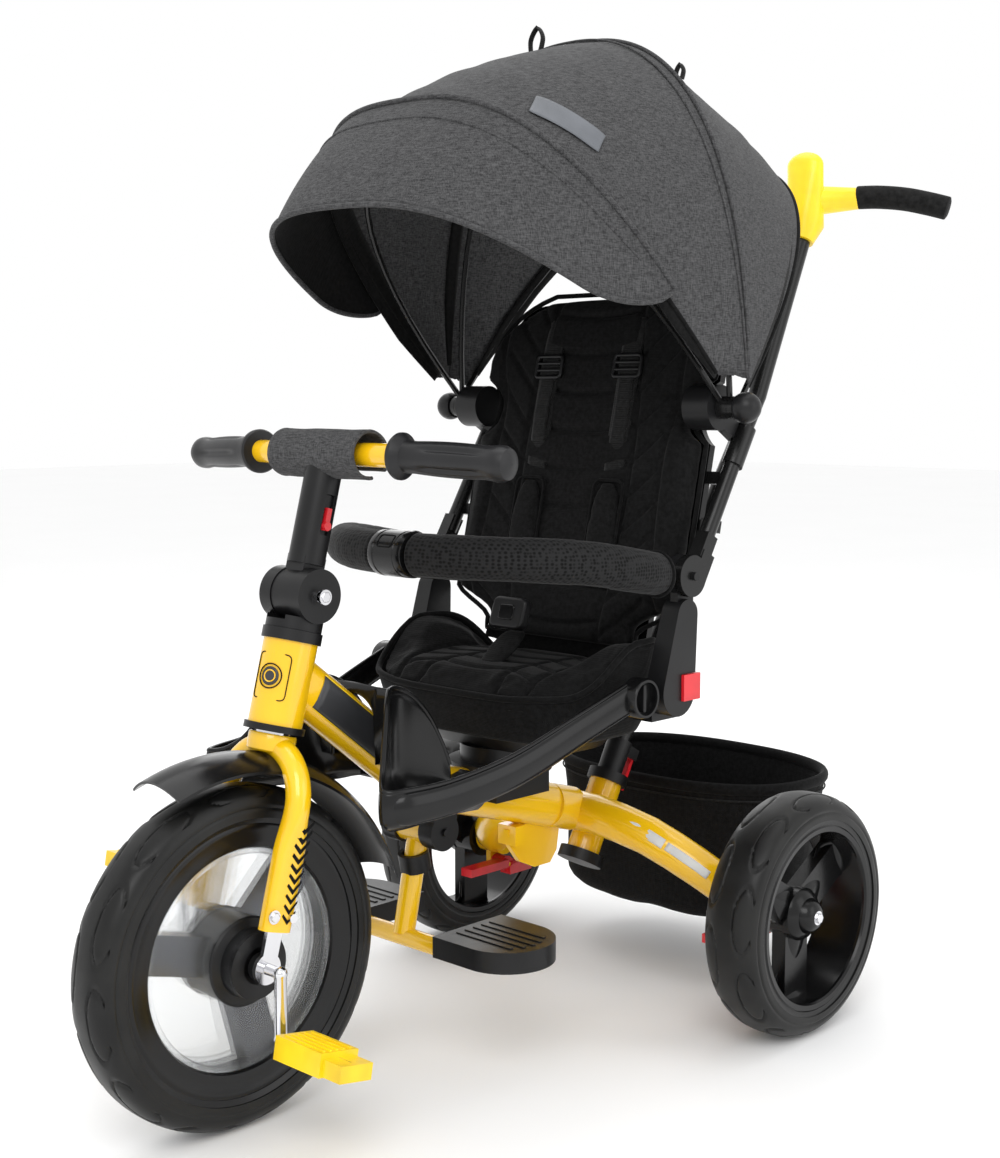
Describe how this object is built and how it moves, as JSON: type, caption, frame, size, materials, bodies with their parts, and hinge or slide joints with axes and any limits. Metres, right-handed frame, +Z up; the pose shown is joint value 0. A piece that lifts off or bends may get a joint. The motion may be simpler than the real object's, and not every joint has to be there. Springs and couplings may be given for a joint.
{
  "type": "tricycle",
  "caption": "Children's pedal tricycle with a padded reclining seat, folding canopy, guard bar, footrest, rear basket and a parent's push handle.",
  "frame": {"origin": "on the floor, at the centre of the bounding box's base", "axes": "+Z up; the tricycle faces -Y, so +Y points to its rear; +X is the rider's left; the steering stands straight ahead"},
  "size_m": [0.52, 1.0968, 0.985],
  "materials": {
    "yellow_metal": "smooth gloss paint",
    "yellow_plastic": "smooth moulded",
    "black_metal": "satin powder coat",
    "chrome": "bright plated",
    "black_plastic": "fine satin texture",
    "gloss_black": "smooth gloss",
    "vane": "dark mirror-like plating on plastic",
    "tyre": "soft matt foam rubber",
    "clear": "clear moulded plastic",
    "red_plastic": "smooth moulded",
    "black_fabric": "padded polyester weave",
    "foam": "soft closed-cell foam",
    "grey_fabric": "melange polyester weave"
  },
  "bodies": {
    "frame": {"head_tube": "yellow_metal", "head_rings": "black_plastic", "down_tube": "yellow_metal", "rear_beam": "yellow_metal", "rear_axles": "chrome", "handle_receiver": "yellow_metal", "receiver_post": "black_plastic", "basket": "black_fabric", "foot_tray": "gloss_black", "seat_mount": "black_plastic", "seat_shell": "black_plastic", "seat_cushion": "black_fabric", "side_brackets": "black_plastic", "crotch_strap": "black_fabric", "footrest_block": "black_plastic"},
    "steering": {"steerer": "chrome", "fork": "yellow_metal", "steering_bolts": "chrome", "fender": "gloss_black", "stem_knuckle": "black_plastic"},
    "handlebars": {"stem": "black_plastic", "handlebar": "yellow_metal", "handlebar_grips": "black_plastic", "bar_pad": "grey_fabric"},
    "fold_button": {"stem_button": "red_plastic"},
    "front_wheel": {"front_tyre": "tyre", "front_rim": "gloss_black", "front_disc": "clear", "front_spokes": "vane", "front_hub": "black_plastic", "crank_axle": "chrome"},
    "left_pedal": {"pedal_left": "yellow_plastic"},
    "right_pedal": {"pedal_right": "yellow_plastic"},
    "left_rear_wheel": {"rear_tyre_left": "tyre", "rear_rim_left": "gloss_black"},
    "right_rear_wheel": {"rear_tyre_right": "tyre", "rear_rim_right": "gloss_black"},
    "left_brake": {"brake_pedal_left": "red_plastic"},
    "right_brake": {"brake_pedal_right": "red_plastic"},
    "footrest": {"footrest_tube": "yellow_metal", "footrest_plates": "black_plastic"},
    "guard": {"guard_bar": "foam", "guard_clasp": "black_plastic"},
    "left_recline_button": {"recline_button_left": "red_plastic"},
    "right_recline_button": {"recline_button_right": "red_plastic"},
    "backrest": {"back_shell": "gloss_black", "back_pad": "black_fabric", "back_tubes": "black_metal", "canopy_hinges": "black_plastic", "shoulder_harness": "black_fabric", "rear_bow": "black_metal", "canopy_rear_panel": "grey_fabric"},
    "canopy_middle": {"mid_bow": "black_metal", "canopy_main_panel": "grey_fabric"},
    "canopy_front": {"front_bow": "black_metal", "canopy_visor": "grey_fabric"},
    "push_handle": {"handle_tube": "black_metal", "handle_head": "yellow_plastic", "handle_grips": "foam"},
    "post_lever": {"receiver_lever": "red_plastic"}
  },
  "joints": [
    {"name": "steering_turn", "type": "hinge", "parent": "frame", "child": "steering", "pos_m": [0, -0.39845, 0.15], "axis": [0, 0.2588, 0.9659], "range_deg": [-35, 35]},
    {"name": "handlebar_fold", "type": "hinge", "parent": "steering", "child": "handlebars", "pos_m": [0, -0.31615, 0.45716], "axis": [1, 0, 0], "range_deg": [0, 80]},
    {"name": "fold_button_slide", "type": "slide", "parent": "handlebars", "child": "fold_button", "axis": [0, 0.2588, 0.9659], "range_m": [0, 0.006], "stiffness_N_per_m": 300, "springref_m": -0.002},
    {"name": "front_wheel_spin", "type": "hinge", "parent": "steering", "child": "front_wheel", "pos_m": [0, -0.39845, 0.15], "axis": [1, 0, 0], "continuous": true},
    {"name": "left_pedal_spin", "type": "hinge", "parent": "front_wheel", "child": "left_pedal", "pos_m": [0.124, -0.39845, 0.093], "axis": [1, 0, 0], "continuous": true},
    {"name": "right_pedal_spin", "type": "hinge", "parent": "front_wheel", "child": "right_pedal", "pos_m": [-0.124, -0.39845, 0.207], "axis": [1, 0, 0], "continuous": true},
    {"name": "left_rear_wheel_spin", "type": "hinge", "parent": "frame", "child": "left_rear_wheel", "pos_m": [0.23, 0.12155, 0.1205], "axis": [1, 0, 0], "continuous": true},
    {"name": "right_rear_wheel_spin", "type": "hinge", "parent": "frame", "child": "right_rear_wheel", "pos_m": [-0.23, 0.12155, 0.1205], "axis": [1, 0, 0], "continuous": true},
    {"name": "left_brake_press", "type": "hinge", "parent": "frame", "child": "left_brake", "pos_m": [0.176, 0.12355, 0.092], "axis": [-1, 0, 0], "range_deg": [0, 12]},
    {"name": "right_brake_press", "type": "hinge", "parent": "frame", "child": "right_brake", "pos_m": [-0.176, 0.12355, 0.092], "axis": [-1, 0, 0], "range_deg": [0, 12]},
    {"name": "footrest_fold", "type": "hinge", "parent": "frame", "child": "footrest", "pos_m": [0, -0.17345, 0.222], "axis": [1, 0, 0], "range_deg": [0, 70]},
    {"name": "guard_lift", "type": "hinge", "parent": "frame", "child": "guard", "pos_m": [0, 0.01355, 0.461], "axis": [-1, 0, 0], "range_deg": [0, 60]},
    {"name": "left_recline_press", "type": "slide", "parent": "frame", "child": "left_recline_button", "axis": [-1, 0, 0], "range_m": [0, 0.003], "stiffness_N_per_m": 300, "springref_m": -0.002},
    {"name": "right_recline_press", "type": "slide", "parent": "frame", "child": "right_recline_button", "axis": [1, 0, 0], "range_m": [0, 0.003], "stiffness_N_per_m": 300, "springref_m": -0.002},
    {"name": "backrest_recline", "type": "hinge", "parent": "frame", "child": "backrest", "pos_m": [0, 0.01355, 0.461], "axis": [-1, 0, 0], "range_deg": [0, 15]},
    {"name": "canopy_fold", "type": "hinge", "parent": "backrest", "child": "canopy_middle", "pos_m": [0, 0.06664, 0.61926], "axis": [-1, 0, 0], "range_deg": [0, 28]},
    {"name": "visor_fold", "type": "hinge", "parent": "canopy_middle", "child": "canopy_front", "pos_m": [0, 0.06664, 0.61926], "axis": [-1, 0, 0], "range_deg": [0, 30]},
    {"name": "handle_height", "type": "slide", "parent": "frame", "child": "push_handle", "axis": [0, 0.4818, 0.8763], "range_m": [-0.05, 0]},
    {"name": "post_lever_open", "type": "hinge", "parent": "frame", "child": "post_lever", "pos_m": [0, 0.13784, 0.24452], "axis": [1, 0, 0], "range_deg": [0, 20]}
  ],
  "couplings": [
    {"joint": "visor_fold", "follows": "canopy_fold", "ratio": 1.0714}
  ]
}
